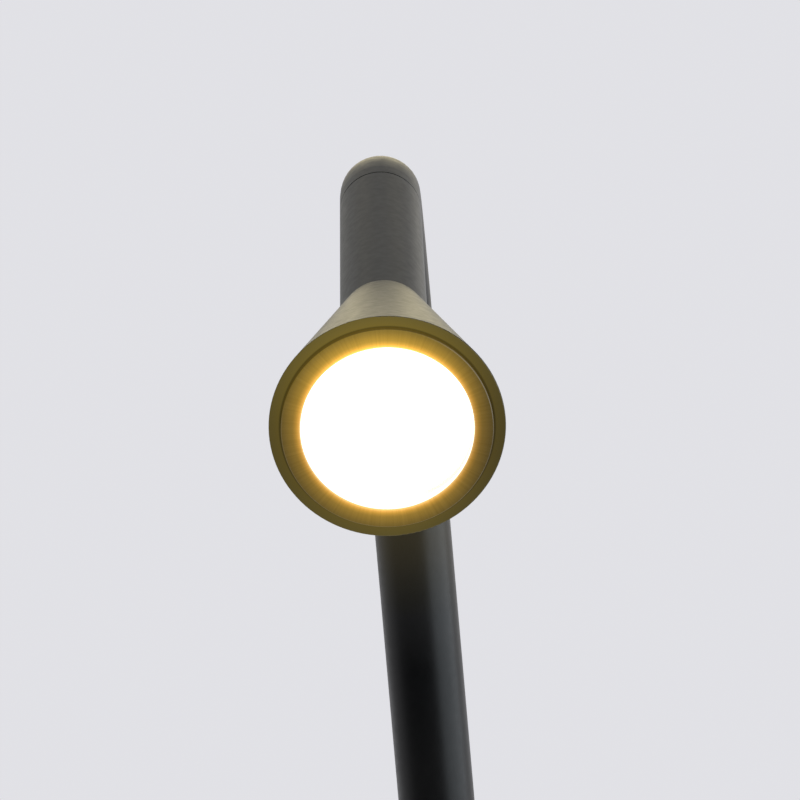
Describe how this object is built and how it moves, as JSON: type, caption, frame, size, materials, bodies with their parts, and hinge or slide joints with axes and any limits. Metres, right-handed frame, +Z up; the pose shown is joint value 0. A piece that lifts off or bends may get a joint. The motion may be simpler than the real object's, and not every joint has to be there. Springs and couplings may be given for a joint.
{
  "type": "wall lamp",
  "caption": "Wall lamp with a cone head on a bent tube arm that swings on a hub in front of a round canopy with a push switch.",
  "frame": {"origin": "centre of the wall bracket's back face, on the line between the two fixing slots", "axes": "+Z up, -Y out of the wall towards the lamp head, +X to the right for someone facing the wall"},
  "size_m": [0.11, 0.3246, 0.4076],
  "materials": {
    "black_coat": "satin powder coat",
    "zinc_steel": "zinc plated",
    "turned_steel": "turned",
    "black_steel": "blackened",
    "sink_aluminium": "matt",
    "bright_aluminium": "bright",
    "bearing_plastic": "plain",
    "black_plastic": "fine grain",
    "white_plastic": "plain",
    "black_rubber": "matt",
    "clear_silicone": "soft",
    "opal_lens": "opal, lit",
    "board_white": "lacquered",
    "phosphor": "satin",
    "lead_sheath": "plain",
    "wire_brown": "plain",
    "brass_screw": "plain"
  },
  "bodies": {
    "wall_unit": {"wall_bracket": "zinc_steel", "entry_grommet": "black_rubber", "earth_screw": "brass_screw", "terminal_block": "white_plastic", "terminal_screws": "zinc_steel", "led_driver": "white_plastic", "driver_screws": "zinc_steel", "canopy": "black_coat", "canopy_screws": "black_steel", "neck_tube": "black_coat", "neck_washer": "zinc_steel", "neck_nut": "zinc_steel", "hub_housing": "black_coat", "upper_bush": "bearing_plastic", "lower_bush": "bearing_plastic", "stop_pin": "turned_steel", "hub_cap": "black_coat", "switch_body": "black_plastic", "switch_nut": "zinc_steel", "wall_leads": "lead_sheath", "mains_wires": "wire_brown"},
    "arm": {"pivot_spindle": "black_steel", "friction_washer": "bearing_plastic", "disc_spring": "turned_steel", "retaining_nut": "zinc_steel", "arm_tube": "black_coat", "arm_screw": "black_steel", "head_spigot": "turned_steel", "head_tube": "black_coat", "spigot_screws": "black_steel", "head_collar": "turned_steel", "head_nipple": "zinc_steel", "head_shell": "black_coat", "heat_sink": "sink_aluminium", "led_board": "board_white", "led_chip": "phosphor", "led_screws": "zinc_steel", "reflector": "bright_aluminium", "lens_gasket": "clear_silicone", "lens": "opal_lens", "bezel_ring": "black_coat", "arm_leads": "lead_sheath"},
    "button": {"switch_button": "black_plastic"}
  },
  "joints": [
    {"name": "arm_swing", "type": "hinge", "parent": "wall_unit", "child": "arm", "pos_m": [0, -0.075, 0.034], "axis": [0, 0, 1], "range_deg": [-90, 90]},
    {"name": "button_press", "type": "slide", "parent": "wall_unit", "child": "button", "axis": [0, 1, 0], "range_m": [0, 0.0018], "stiffness_N_per_m": 800}
  ]
}
